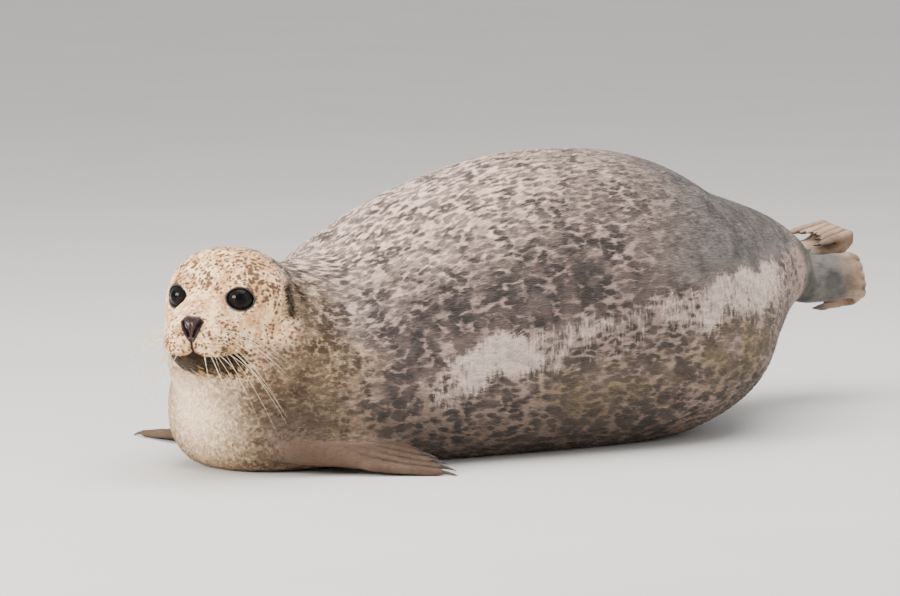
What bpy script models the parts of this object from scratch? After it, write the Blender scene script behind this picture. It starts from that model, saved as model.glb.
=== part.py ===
"""A harbour seal, adult and life size, as a still museum model. Metres, +Z up.

The seal lies on its belly on a flat floor. Its neck is drawn in, its head is raised and turned
to its left, and its hind end is lifted so that both hind flippers are off the floor. It faces -Y
and its left side is +X. The origin is on the floor under the middle of its bounding box.

The fleshy body is one closed form, fused from a trunk, a neck and a head, and then parted by
three thin slanting cuts. Flippers, tail, eyes and fore claws are separate solids that fit
against it, and the small hind claws are one with their flippers.
"""

import math

import bmesh
import bpy
import numpy as np
from mathutils import Matrix, Vector

for old in list(bpy.data.objects):
    bpy.data.objects.remove(old)

MM = 0.001
GAP = 0.0003  # clearance between neighbouring solids

# Resolution
BODY_VOXEL = 0.005
LIMB_VOXEL = 0.0026
BODY_TRIANGLES = 3800
FORE_TRIANGLES = 380
HIND_TRIANGLES = 380
BODY_SEGMENTS = 48
LIMB_SEGMENTS = 20

# Trunk sections, front to back: place along Y, sideways shift, underside, back, half width.
# The underside dips below the floor where the soft belly spreads, and is cut flat there.
TRUNK = (
    (-0.592, 0.032, 0.062, 0.120, 0.034),
    (-0.576, 0.032, 0.020, 0.158, 0.074),
    (-0.540, 0.031, -0.004, 0.190, 0.110),
    (-0.480, 0.023, -0.014, 0.214, 0.145),
    (-0.400, 0.010, -0.018, 0.246, 0.177),
    (-0.300, 0.003, -0.020, 0.301, 0.208),
    (-0.180, 0.000, -0.022, 0.352, 0.236),
    (-0.050, 0.000, -0.024, 0.386, 0.252),
    (0.070, 0.000, -0.022, 0.394, 0.258),
    (0.180, -0.003, -0.010, 0.379, 0.247),
    (0.280, -0.010, 0.022, 0.333, 0.209),
    (0.365, -0.025, 0.070, 0.308, 0.147),
    (0.430, -0.042, 0.115, 0.289, 0.110),
    (0.480, -0.057, 0.140, 0.270, 0.088),
    (0.520, -0.070, 0.150, 0.250, 0.072),
    (0.552, -0.080, 0.166, 0.232, 0.046),
)
BACK_FULLNESS = 2.1  # 2 is an ellipse, more is squarer
BELLY_FULLNESS = 2.6

# Neck: centre X, Y, Z and radius, from inside the shoulders to inside the head.
NECK = (
    (0.004, -0.330, 0.146, 0.130),
    (0.016, -0.400, 0.152, 0.121),
    (0.040, -0.465, 0.155, 0.116),
    (0.062, -0.525, 0.148, 0.107),
    (0.079, -0.575, 0.131, 0.084),
    (0.087, -0.600, 0.121, 0.062),
)

# Head frame: its origin is midway between the fronts of the eyes.
HEAD_ORIGIN = Vector((0.094, -0.604, 0.238))
HEAD_TURN = math.radians(28)  # to the seal's left
# Head sections in millimetres: distance ahead of the eyes, top, underside, half width, and
# the height at which the section is widest.
HEAD = (
    (66, -29, -46, 8, -38),
    (63, -22, -60, 21, -43),
    (56, -16, -77, 32, -53),
    (46, -10, -89, 40, -57),
    (33, -3, -97, 47, -57),
    (18, 8, -102, 54, -54),
    (3, 24, -104, 62, -47),
    (-14, 44, -106, 72, -38),
    (-31, 56, -107, 81, -29),
    (-50, 62, -107, 86, -23),
    (-75, 64, -106, 86, -21),
    (-100, 58, -103, 82, -21),
    (-125, 46, -95, 73, -23),
    (-145, 28, -80, 56, -25),
    (-160, 4, -58, 33, -28),
)
HEAD_FULLNESS = 2.35  # of the upper half; the lower half is as full
# Soft swellings on the head: place ahead, to the side and up, height and reach. Both sides.
SWELLINGS = (
    ((42, 34, -56), 5.0, 20),  # whisker pad
    ((-8, 44, 26), 3.5, 20),  # brow
)

EYE_RADIUS = 0.0195
EYE_CENTRE = (-11, 39.5, -1)  # ahead, to the side, up, in millimetres

# The head and the neck are parted by planes through a point on the nape and one on the throat,
# the hindquarters by a plane across the loins.
HEAD_CUT = ((0.030, -0.455, 0.300), (0.110, -0.628, 0.128))
NECK_CUT = ((0.000, -0.360, 0.330), (0.030, -0.610, 0.050))
LOIN_CUT = ((0.0, 0.270, 0.0), (-0.06, 0.98, 0.16))  # a point and the normal, towards the tail


def through(rows, count):
    """count rows on the smooth curve (Catmull-Rom) that passes through the given rows."""
    table = np.array(rows, float)
    table = np.vstack([2 * table[0] - table[1], table, 2 * table[-1] - table[-2]])
    found = []
    for place in np.linspace(0, len(rows) - 1, count):
        i = min(int(place), len(rows) - 2)
        t = place - i
        a, b, c, d = table[i : i + 4]
        bend = 2 * a - 5 * b + 4 * c - d
        twist = 3 * b - a - 3 * c + d
        found.append((0.5 * (2 * b + (c - a) * t + bend * t**2 + twist * t**3)).tolist())
    return found


def ring(centre, side, up, half_width, above, below, segments, full_above=2.0, full_below=2.0):
    """Points round a rounded section, which may be taller above its centre than below it."""
    points = []
    for k in range(segments):
        angle = 2 * math.pi * k / segments
        c, s = math.cos(angle), math.sin(angle)
        full = full_above if s >= 0 else full_below
        out = math.copysign(abs(c) ** (2 / full), c) * half_width
        rise = math.copysign(abs(s) ** (2 / full), s) * (above if s >= 0 else below)
        points.append(Vector(centre) + out * Vector(side) + rise * Vector(up))
    return points


def loft(name, rings):
    """A closed mesh object through rings of equally many points, capped at both ends."""
    bm = bmesh.new()
    rows = [[bm.verts.new(p) for p in points] for points in rings]
    for before, after in zip(rows, rows[1:]):
        for k in range(len(before)):
            n = (k + 1) % len(before)
            bm.faces.new((before[k], before[n], after[n], after[k]))
    for row in (rows[0], rows[-1]):
        middle = bm.verts.new(sum((v.co for v in row), Vector()) / len(row))
        for k in range(len(row)):
            bm.faces.new((row[k], row[(k + 1) % len(row)], middle))
    bmesh.ops.recalc_face_normals(bm, faces=bm.faces)
    return object_of(name, bm)


def object_of(name, bm):
    mesh = bpy.data.meshes.new(name)
    bm.to_mesh(mesh)
    bm.free()
    made = bpy.data.objects.new(name, mesh)
    bpy.context.scene.collection.objects.link(made)
    return made


def settle(obj):
    """Applies the modifiers of an object to its mesh."""
    bpy.context.view_layer.update()
    graph = bpy.context.evaluated_depsgraph_get()
    mesh = bpy.data.meshes.new_from_object(obj.evaluated_get(graph), depsgraph=graph)
    obj.modifiers.clear()
    obj.data = mesh
    return obj


def fuse(name, pieces, voxel):
    """One closed object from overlapping closed pieces, which are removed."""
    bm = bmesh.new()
    for piece in pieces:
        bm.from_mesh(piece.data)
        bpy.data.objects.remove(piece)
    made = object_of(name, bm)
    remesh = made.modifiers.new("Fuse", "REMESH")
    remesh.mode = "VOXEL"
    remesh.voxel_size = voxel
    return settle(made)


def soften(obj, iterations, weight_of=None):
    """Relaxes the surface, most where weight_of(point) is 1."""
    smooth = obj.modifiers.new("Soften", "SMOOTH")
    smooth.factor = 0.5
    smooth.iterations = iterations
    if weight_of:
        group = obj.vertex_groups.new(name="soften")
        for v in obj.data.vertices:
            group.add([v.index], weight_of(v.co), "REPLACE")
        smooth.vertex_group = group.name
    return settle(obj)


def thin_to(obj, triangles):
    """Keeps about that many triangles, where the form needs them most."""
    obj.data.calc_loop_triangles()
    thin = obj.modifiers.new("Thin", "DECIMATE")
    thin.ratio = triangles / len(obj.data.loop_triangles)
    return settle(obj)


def cut(obj, cutter, operation="DIFFERENCE"):
    """Applies an exact Boolean with another object."""
    boolean = obj.modifiers.new("Cut", "BOOLEAN")
    boolean.operation = operation
    boolean.solver = "EXACT"
    boolean.object = cutter
    return settle(obj)


def grown(obj, by=GAP):
    """A copy of an object, swollen by a clearance, to cut its neighbours with."""
    copy = bpy.data.objects.new(obj.name + "_cutter", obj.data.copy())
    bpy.context.scene.collection.objects.link(copy)
    swell = copy.modifiers.new("Swell", "DISPLACE")
    swell.strength = by
    swell.mid_level = 0
    return settle(copy)


def behind_plane(obj, point, normal):
    """Cuts away what lies on the normal's side of a plane, and closes the cut."""
    bm = bmesh.new()
    bm.from_mesh(obj.data)
    everything = bm.verts[:] + bm.edges[:] + bm.faces[:]
    done = bmesh.ops.bisect_plane(
        bm, geom=everything, plane_co=point, plane_no=normal, dist=1e-6, clear_outer=True
    )
    rim = [e for e in done["geom_cut"] if isinstance(e, bmesh.types.BMEdge)]
    bmesh.ops.holes_fill(bm, edges=rim, sides=0)
    bmesh.ops.triangulate(bm, faces=[f for f in bm.faces if len(f.verts) > 4])
    bm.to_mesh(obj.data)
    bm.free()
    return obj


def copied(obj, name):
    made = bpy.data.objects.new(name, obj.data.copy())
    bpy.context.scene.collection.objects.link(made)
    return made


# ---- Head frame -------------------------------------------------------------------------

AHEAD = Vector((math.sin(HEAD_TURN), -math.cos(HEAD_TURN), 0))
LEFT = Vector((0, 0, 1)).cross(AHEAD).normalized()
UP = Vector((0, 0, 1))


def on_head(ahead, left, up):
    """A point given in millimetres in the head frame."""
    return HEAD_ORIGIN + MM * (ahead * AHEAD + left * LEFT + up * UP)


def head_rings():
    rings = []
    for ahead, top, bottom, half_width, widest in through(HEAD, 44):
        points = ring(
            (0, 0, widest),
            (0, 1, 0),
            (0, 0, 1),
            half_width,
            top - widest,
            widest - bottom,
            BODY_SEGMENTS,
            HEAD_FULLNESS,
            HEAD_FULLNESS,
        )
        row = []
        for p in points:
            local = Vector((ahead, p.y, p.z))
            away = Vector((0, p.y, p.z - widest)).normalized()
            for (a, side, u), height, reach in SWELLINGS:
                for mirrored in (side, -side):
                    distance = (local - Vector((a, mirrored, u))).length
                    p = p + away * height * math.exp(-((distance / reach) ** 2))
            row.append(on_head(ahead, p.y, p.z))
        rings.append(row)
    return rings


# ---- Body: trunk, neck and head fused, relaxed at the joins, cut flat on the floor --------


def trunk_rings():
    rings = []
    for y, x, low, high, half_width in through(TRUNK, 60):
        middle = 0.5 * (low + high) - 0.06 * (high - low)
        rings.append(
            ring(
                (x, y, middle),
                (1, 0, 0),
                (0, 0, 1),
                half_width,
                high - middle,
                middle - low,
                BODY_SEGMENTS,
                BACK_FULLNESS,
                BELLY_FULLNESS,
            )
        )
    return rings


def neck_rings():
    rows = through(NECK, 16)
    rings = []
    for i, (x, y, z, radius) in enumerate(rows):
        before, after = rows[max(i - 1, 0)], rows[min(i + 1, len(rows) - 1)]
        along = (Vector(after[:3]) - Vector(before[:3])).normalized()
        side = along.cross(Vector((0, 0, 1))).normalized()
        rings.append(
            ring((x, y, z), side, side.cross(along), radius, radius, radius, BODY_SEGMENTS)
        )
    return rings


def join_weight(point):
    """1 where head, neck and chest run into each other, fading out over the face and trunk."""
    nape = on_head(-130, 0, -20)
    near = math.exp(-(((point - nape).length / 0.14) ** 4))
    face = (point - HEAD_ORIGIN).dot(AHEAD) / MM
    return near * min(max((-45 - face) / 50, 0.0), 1.0)


body = fuse(
    "body",
    [
        loft("trunk_form", trunk_rings()),
        loft("neck_form", neck_rings()),
        loft("head_form", head_rings()),
    ],
    BODY_VOXEL,
)
soften(body, 110, join_weight)
soften(body, 3)
thin_to(body, BODY_TRIANGLES)
behind_plane(body, (0, 0, 0), (0, 0, -1))


def cut_plane(nape, throat):
    """A point and the normal, towards the nose, of the plane that parts two lengths."""
    down = (Vector(throat) - Vector(nape)).normalized()
    normal = LEFT.cross(down).normalized()
    if normal.dot(AHEAD) < 0:
        normal = -normal
    return Vector(nape), normal


head_point, head_normal = cut_plane(*HEAD_CUT)
neck_point, neck_normal = cut_plane(*NECK_CUT)
head = behind_plane(copied(body, "head"), head_point + head_normal * GAP / 2, -head_normal)
neck = behind_plane(copied(body, "neck"), head_point - head_normal * GAP / 2, head_normal)
behind_plane(neck, neck_point + neck_normal * GAP / 2, -neck_normal)
loin_point, loin_normal = Vector(LOIN_CUT[0]), Vector(LOIN_CUT[1]).normalized()
hindquarters = behind_plane(
    copied(body, "hindquarters"), loin_point + loin_normal * GAP / 2, -loin_normal
)
trunk = behind_plane(copied(body, "trunk"), neck_point - neck_normal * GAP / 2, neck_normal)
behind_plane(trunk, loin_point - loin_normal * GAP / 2, loin_normal)

# ---- Eyes --------------------------------------------------------------------------------


def eye(name, side):
    """A whole eyeball in a socket that opens on the face."""
    ahead, left, up = EYE_CENTRE
    bm = bmesh.new()
    bmesh.ops.create_uvsphere(bm, u_segments=16, v_segments=10, radius=EYE_RADIUS)
    bm.transform(Matrix.Translation(on_head(ahead, side * left, up)))
    ball = object_of(name, bm)
    socket = grown(ball)
    cut(head, socket)
    bpy.data.objects.remove(socket)
    return ball


eyes = [eye("eye_left", 1), eye("eye_right", -1)]

# ---- Flippers ------------------------------------------------------------------------------
# A flipper is first made flat: X along it from its root, Y across it towards the first digit,
# Z its thickness. Then it is bent over its thickness and placed.

# Hand: distance from the root, half width, half thickness, sideways shift. Millimetres.
FORE_PADDLE = (
    (-38, 9, 7, 0),
    (-33, 25, 19, 0),
    (-14, 38, 29, 0),
    (28, 38, 25, 0),
    (70, 36, 18, 1),
    (105, 40, 14, 2),
    (135, 43, 10, 3),
    (158, 40, 7, 5),
    (168, 30, 4, 7),
)
# Digits, first to fifth: place across at the knuckle and at the tip, length from the root,
# radius at the knuckle and at the tip.
FORE_DIGITS = (
    (32, 38, 208, 11, 7.5),
    (17, 22, 204, 10.5, 7.5),
    (1, 4, 194, 10, 7),
    (-14, -13, 180, 9.5, 6.5),
    (-28, -30, 162, 9, 6),
)
FORE_KNUCKLE = 96
HIND_PADDLE = (
    (-34, 20, 16, 0),
    (0, 34, 24, 0),
    (45, 36, 21, 0),
    (85, 35, 16, 0),
    (120, 34, 11, 0),
    (150, 33, 7.5, 0),
    (182, 33, 4.5, 0),
    (202, 32, 3, 0),
    (212, 27, 2.6, 0),
)
HIND_DIGITS = (
    (25, 33, 240, 11.5, 7),
    (13, 17, 222, 8.5, 5.5),
    (0, 0, 212, 8, 5),
    (-13, -17, 221, 8.5, 5.5),
    (-25, -33, 238, 11.5, 7),
)
HIND_KNUCKLE = 92


def bent(point, start, length, curl, spread=0.0):
    """Where a point of the flat flipper goes when it curls by an angle from start on."""
    x, y, z = point
    t = min(max((x - start) / length, 0.0), 1.0)
    # The angle rises evenly, so the middle line is an arc of this radius.
    radius = length / curl if curl else 0.0
    y = y * (1 + spread * t)
    if t == 0 or not curl:
        return Vector((x, y, z))
    angle = curl * t
    past = max(x - start - length, 0.0)
    along = start + (radius - z) * math.sin(angle) + past * math.cos(angle)
    rise = radius - (radius - z) * math.cos(angle) + past * math.sin(angle)
    return Vector((along, y, rise))


def digit_line(across_knuckle, across_tip, length, knuckle):
    """The middle line of a digit on the flat flipper, as a function of a share of its length."""
    return lambda t: Vector(
        (knuckle + (length - knuckle) * t, across_knuckle + (across_tip - across_knuckle) * t, 0)
    )


def tube(name, line, radii, flatness=1.0):
    """A round-ended tapering tube along a straight line, flattened over its thickness."""
    ends = ((0.0, 0.55), (0.04, 0.9), (0.12, 1.0), (0.5, 1.0), (0.9, 1.0), (0.97, 0.8), (1.0, 0.4))
    rings = []
    for t, swell in ends:
        radius = (radii[0] + (radii[1] - radii[0]) * t) * swell
        rings.append(
            ring(line(t), (0, 1, 0), (0, 0, 1), radius, radius * flatness, radius * flatness, 12)
        )
    return loft(name, rings)


def claw_form(name, tip, heading, length, radius):
    """A tapering claw, curved down, whose base sits inside the end of its digit."""
    rings = []
    for t in (0.0, 0.35, 0.65, 0.88, 1.0):
        centre = tip + heading * (length * t - 0.35 * length) + Vector((0, 0, -0.22 * length * t**2))
        thick = radius * (1 - 0.86 * t**1.4)
        rings.append(ring(centre, (0, 1, 0), (0, 0, 1), thick * 0.8, thick, thick * 0.8, 6))
    return loft(name, rings)


def flipper(name, paddle, digits, knuckle, claw, triangles, placing, bend, join_claws):
    """One flipper, and its five claws where they aren't joined to it. placing turns flat
    millimetres into places in the world."""
    across = (0, 1, 0), (0, 0, 1)
    rings = [
        ring((x, shift, 0), *across, half, thick, thick, LIMB_SEGMENTS, 2.4, 2.4)
        for x, half, thick, shift in through(paddle, 22)
    ]
    forms = [loft(name + "_paddle", rings)]
    claws = []
    for number, (at_knuckle, at_tip, length, wide, narrow) in enumerate(digits, 1):
        line = digit_line(at_knuckle, at_tip, length, knuckle)
        forms.append(tube(f"{name}_digit_{number}", line, (wide, narrow), 0.85))
        heading = (line(1) - line(0)).normalized()
        claws.append(claw_form(f"{name}_claw_{number}", line(1), heading, *claw))
    for form in forms + claws:
        for v in form.data.vertices:
            v.co = placing @ (MM * bent(v.co, *bend))
    whole = fuse(name, forms, LIMB_VOXEL)
    soften(whole, 4)
    thin_to(whole, triangles)
    for one in [whole, *claws]:
        behind_plane(one, (0, 0, 0), (0, 0, -1))
    if join_claws:
        for one in claws:
            cut(whole, one, "UNION")
            bpy.data.objects.remove(one)
        return whole, []
    for one in claws:
        socket = grown(one)
        cut(whole, socket)
        bpy.data.objects.remove(socket)
    return whole, claws


def mirrored(digits):
    """The digits of the other side's flipper, first to fifth across it the other way."""
    return [(-knuckle, -tip, *rest) for knuckle, tip, *rest in digits]


def placed(root, along, thick):
    """The matrix that puts a flat flipper's root at a point, its length along a direction and
    its thickness as near as can be to another."""
    x = Vector(along).normalized()
    y = Vector(thick).cross(x).normalized()
    z = x.cross(y)
    return Matrix.Translation(Vector(root)) @ Matrix((x, y, z)).transposed().to_4x4()


# Claws: length and radius at the base, in millimetres.
FORE_CLAW = (26, 3.6)
HIND_CLAW = (17, 2.5)

flippers = {}
claws = []
for name, paddle, digits, knuckle, claw, triangles, placing, bend, join_claws in (
    (
        "fore_flipper_left",
        FORE_PADDLE,
        mirrored(FORE_DIGITS),
        FORE_KNUCKLE,
        FORE_CLAW,
        FORE_TRIANGLES,
        placed((0.132, -0.500, 0.0445), (0.52, 0.84, -0.19), (0.40, -0.02, 0.88)),
        (60, 150, 0.19),
        False,
    ),
    (
        "fore_flipper_right",
        FORE_PADDLE,
        FORE_DIGITS,
        FORE_KNUCKLE,
        FORE_CLAW,
        FORE_TRIANGLES,
        placed((-0.116, -0.398, 0.0415), (-0.95, 0.08, -0.27), (-0.20, 0.0, 0.98)),
        (50, 160, 0.27),
        False,
    ),
    (
        "hind_flipper_left",
        HIND_PADDLE,
        mirrored(HIND_DIGITS),
        HIND_KNUCKLE,
        HIND_CLAW,
        HIND_TRIANGLES,
        placed((-0.046, 0.522, 0.178), (0.06, 1.00, 0.01), (0.95, -0.05, 0.31)),
        (106, 105, -3.35),
        True,
    ),
    (
        "hind_flipper_right",
        HIND_PADDLE,
        HIND_DIGITS,
        HIND_KNUCKLE,
        HIND_CLAW,
        HIND_TRIANGLES,
        placed((-0.122, 0.532, 0.184), (0.03, 0.968, 0.250), (0.18, -0.25, 0.95)),
        (138, 36, 3.12),
        True,
    ),
):
    flippers[name], its_claws = flipper(
        name, paddle, digits, knuckle, claw, triangles, placing, bend, join_claws
    )
    claws += its_claws

# ---- Tail: a short flat cone between the hind flippers ------------------------------------

TAIL = (
    (-20, 20, 13),
    (15, 19, 11),
    (45, 15, 9),
    (66, 9, 6),
    (75, 3, 3),
)


def tail_form():
    rings = [
        ring((x, 0, 0), (0, 1, 0), (0, 0, 1), half, thick, thick, LIMB_SEGMENTS)
        for x, half, thick in through(TAIL, 12)
    ]
    made = loft("tail", rings)
    placing = placed((-0.078, 0.510, 0.212), (0.10, 0.96, 0.06), (0.0, 0.0, 1.0))
    for v in made.data.vertices:
        v.co = placing @ (MM * v.co)
    return made


tail = tail_form()

# ---- Fitting the pieces against each other -----------------------------------------------

fitted = [trunk, hindquarters, neck]
for one in [*flippers.values(), tail]:
    for other in fitted:
        cutter = grown(other, 2 * GAP)
        cut(one, cutter)
        bpy.data.objects.remove(cutter)
    fitted.append(one)
# ---- Origin on the floor under the middle of the bounding box ----------------------------

solids = [trunk, hindquarters, neck, head, tail, *flippers.values(), *claws, *eyes]
corners = np.array([v.co[:] for one in solids for v in one.data.vertices])
low, high = corners.min(axis=0), corners.max(axis=0)
to_origin = Vector((-0.5 * (low[0] + high[0]), -0.5 * (low[1] + high[1]), -low[2]))
for one in solids:
    one.data.transform(Matrix.Translation(to_origin))

# ---- Materials and collection --------------------------------------------------------------


def material(name, colour, roughness):
    made = bpy.data.materials.new(name)
    made.use_nodes = True
    shader = made.node_tree.nodes["Principled BSDF"]
    shader.inputs["Base Color"].default_value = (*colour, 1)
    shader.inputs["Roughness"].default_value = roughness
    shader.inputs["Metallic"].default_value = 0.0
    return made


fur = material("spotted_fur", (0.36, 0.31, 0.27), 0.7)
pale_fur = material("pale_fur", (0.62, 0.54, 0.44), 0.7)
flipper_skin = material("flipper_skin", (0.33, 0.25, 0.20), 0.6)
horn = material("claw_horn", (0.07, 0.06, 0.055), 0.4)
cornea = material("eye_black", (0.012, 0.011, 0.012), 0.05)

collection = bpy.data.collections.new("harbour_seal")
bpy.context.scene.collection.children.link(collection)
finishes = [(trunk, fur), (hindquarters, fur), (neck, fur), (head, pale_fur), (tail, fur)]
finishes += [(one, flipper_skin) for one in flippers.values()]
finishes += [(one, horn) for one in claws]
finishes += [(one, cornea) for one in eyes]
bpy.data.objects.remove(body)
for one, finish in finishes:
    one.data.materials.clear()
    one.data.materials.append(finish)
    bpy.context.scene.collection.objects.unlink(one)
    collection.objects.link(one)
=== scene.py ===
"""An adult harbour seal as a still museum model, life size, over its solid model as a frame."""

import math

import bmesh
import bpy
import numpy as np
from mathutils import Matrix, Vector
from mathutils.bvhtree import BVHTree


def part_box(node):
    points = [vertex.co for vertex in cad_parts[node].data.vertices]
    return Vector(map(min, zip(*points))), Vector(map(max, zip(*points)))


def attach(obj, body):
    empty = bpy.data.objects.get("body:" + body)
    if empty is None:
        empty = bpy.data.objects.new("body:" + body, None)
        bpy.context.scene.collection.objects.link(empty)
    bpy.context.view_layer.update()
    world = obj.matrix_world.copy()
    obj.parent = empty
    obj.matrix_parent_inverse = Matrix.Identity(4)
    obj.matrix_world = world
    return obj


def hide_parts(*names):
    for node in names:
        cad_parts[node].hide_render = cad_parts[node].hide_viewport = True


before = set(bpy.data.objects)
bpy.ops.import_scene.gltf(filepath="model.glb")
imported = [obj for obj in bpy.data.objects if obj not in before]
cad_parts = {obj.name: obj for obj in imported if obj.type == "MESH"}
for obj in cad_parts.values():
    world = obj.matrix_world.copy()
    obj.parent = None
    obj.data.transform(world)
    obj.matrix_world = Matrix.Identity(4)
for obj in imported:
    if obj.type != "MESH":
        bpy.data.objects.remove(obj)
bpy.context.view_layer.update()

# ---- Skin ----------------------------------------------------------------------------------
# One hide over the whole body, from the nose to the tips of the hind flippers, with no seam.
# It is fused from the fleshy solids, relaxed, thinned where it is plain, and kept fine on the
# face and the flippers. It lies inside the solids by the depth of the wet, flat coat.

BODY = ("trunk", "neck", "head", "hindquarters", "tail")
LIMBS = ("fore_flipper_left", "fore_flipper_right", "hind_flipper_left", "hind_flipper_right")
FLESH = BODY + LIMBS
EYES = ("eye_left", "eye_right")
FUSE_VOXEL = 0.0032
BODY_COAT_DEPTH = 0.0022
LIMB_COAT_DEPTH = 0.0007
EYES_BEHIND, EYES_BELOW = 0.011, 0.001  # the head's origin
LIMB_REACH = 0.03  # a flipper has no say in the hide beyond this
MM = 0.001


def middle_of(node):
    low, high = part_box(node)
    return (low + high) / 2


# The head's own directions come from the two eyes, which lie a little behind its origin.
to_left = (middle_of("eye_left") - middle_of("eye_right")).normalized()
to_front = to_left.cross(Vector((0, 0, 1))).normalized()
brow_point = (middle_of("eye_left") + middle_of("eye_right")) / 2 + to_front * EYES_BEHIND
brow_point.z += EYES_BELOW


def head_place(points):
    """Millimetres ahead of the eyes, to the head's left, and up, for rows of points."""
    offset = (np.asarray(points) - np.array(brow_point)) / MM
    return offset @ np.array(to_front), offset @ np.array(to_left), offset[:, 2]


def read(items, kind, width=3, number=np.float32):
    """One value of each vertex, corner or triangle of a mesh, as rows."""
    rows = np.zeros(len(items) * width, number)
    items.foreach_get(kind, rows)
    return rows.reshape(-1, width)


def points_of(mesh):
    return read(mesh.vertices, "co").astype(float)


def object_of(name, data):
    made = bpy.data.objects.new(name, data)
    bpy.context.scene.collection.objects.link(made)
    return made


def piece(name, bm):
    """A finished mesh object at the origin, shaded smooth."""
    mesh = bpy.data.meshes.new(name)
    bm.to_mesh(mesh)
    bm.free()
    mesh.shade_smooth()
    return object_of(name, mesh)


def settle(obj):
    """Applies an object's modifiers to its mesh."""
    graph = bpy.context.evaluated_depsgraph_get()
    graph.update()
    mesh = bpy.data.meshes.new_from_object(obj.evaluated_get(graph), depsgraph=graph)
    obj.modifiers.clear()
    obj.data = mesh


def weights(obj, name, values):
    """A vertex group with the given weights, in steps of a hundredth."""
    group = obj.vertex_groups.new(name=name)
    for step in np.unique(np.round(values, 2)):
        chosen = np.nonzero(np.round(values, 2) == step)[0]
        group.add(chosen.tolist(), float(step), "REPLACE")
    return group.name


def ramp(values, low, high):
    """0 below low and 1 above high, smoothly between."""
    t = np.clip((np.asarray(values, float) - low) / (high - low), 0, 1)
    return t * t * (3 - 2 * t)


bm = bmesh.new()
for node in FLESH + EYES:
    bm.from_mesh(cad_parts[node].data)
bmesh.ops.remove_doubles(bm, verts=bm.verts, dist=1e-5)
skin = piece("skin", bm)
remesh = skin.modifiers.new("Fuse", "REMESH")
remesh.mode = "VOXEL"
remesh.voxel_size = FUSE_VOXEL
settle(skin)

flesh = {node: BVHTree.FromObject(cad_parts[node], bpy.context.evaluated_depsgraph_get())
         for node in FLESH}


def gap_to(nodes, point):
    return min(flesh[node].find_nearest(point)[3] for node in nodes)


def limb_shares(points):
    """How far each point of the hide is out on a flipper, and how near to a flipper's root."""
    limb, root = np.zeros(len(points)), np.zeros(len(points))
    for node in LIMBS:
        low, high = (np.array(corner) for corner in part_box(node))
        inside = np.all((points > low - LIMB_REACH) & (points < high + LIMB_REACH), axis=1)
        for i in np.nonzero(inside)[0]:
            point = Vector(points[i])
            to_limb = gap_to([node], point)
            if to_limb < LIMB_REACH:
                to_body = gap_to(BODY, point)
                limb[i] = max(limb[i], ramp(to_body - to_limb, 0.001, 0.022))
                root[i] = max(root[i], 1 - ramp(max(to_body, to_limb), 0.006, 0.026))
    return limb, root


def face_share(points):
    """1 on the face and the throat under it, 0 behind the ears."""
    ahead, left, up = head_place(points)
    return ramp(ahead, -75, -30) * ramp(up, -135, -100) * ramp(-np.abs(left), -95, -70)


places = points_of(skin.data)
limb, root = limb_shares(places)
face = face_share(places)
ease = np.maximum((1 - 0.86 * limb) * (1 - 0.80 * face), root)
relax = skin.modifiers.new("Relax", "SMOOTH")
relax.factor = 0.5
relax.iterations = 70
relax.vertex_group = weights(skin, "ease", ease)
thin = skin.modifiers.new("Thin", "DECIMATE")
thin.ratio = 0.235
thin.vertex_group = weights(skin, "plain", 1 - np.maximum(face, limb))
thin.vertex_group_factor = 0.6
settle(skin)

# The fuse leaves a few tiny bubbles in the cuts, which go.
bm = bmesh.new()
bm.from_mesh(skin.data)
bm.verts.ensure_lookup_table()
unseen, islands = set(bm.verts), []
while unseen:
    island, edge_on = set(), [unseen.pop()]
    while edge_on:
        vert = edge_on.pop()
        island.add(vert)
        for edge in vert.link_edges:
            other = edge.other_vert(vert)
            if other in unseen:
                unseen.discard(other)
                edge_on.append(other)
    islands.append(island)
islands.sort(key=len)
for island in islands[:-1]:
    bmesh.ops.delete(bm, geom=list(island), context="VERTS")

# ---- Sculpt ------------------------------------------------------------------------------
# The hide's own modelling: lid openings over the eyeballs, nose pad with its slit nostrils,
# split upper lip, recessed lower jaw, whisker pads and ear pits, and the lines between digits.

EYE_RADIUS = 19.5
EYE_FORWARD = 1.0
EYE_TURN = math.radians(28)
EYE_LIFT = 0.06  # how far the gaze rises
LID_WIDE, LID_HIGH = 16.2, 13.8
WHISKER_ROW = 5.2  # from one row of whiskers to the next
LID_TILT = math.radians(-7)
MUZZLE_TURN = 0.08  # sideways lean of the muzzle's middle line towards its tip
FLOOR_GAP = 0.0004  # the hide stays this far above the floor


def finer(bm, chosen):
    """Splits the edges between chosen vertices, and leaves triangles."""
    edges = [e for e in bm.edges if all(chosen[v.index] for v in e.verts)]
    bmesh.ops.subdivide_edges(bm, edges=edges, cuts=1, use_grid_fill=True)
    bmesh.ops.triangulate(bm, faces=[f for f in bm.faces if len(f.verts) > 3])
    bm.verts.ensure_lookup_table()
    bm.verts.index_update()


def verts_of(bm):
    return np.array([v.co[:] for v in bm.verts])


def normals_of(mesh):
    return read(mesh.vertices, "normal").astype(float)


def put_points(mesh, rows):
    mesh.vertices.foreach_set("co", rows.astype(np.float32).ravel())
    mesh.update()


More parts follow.
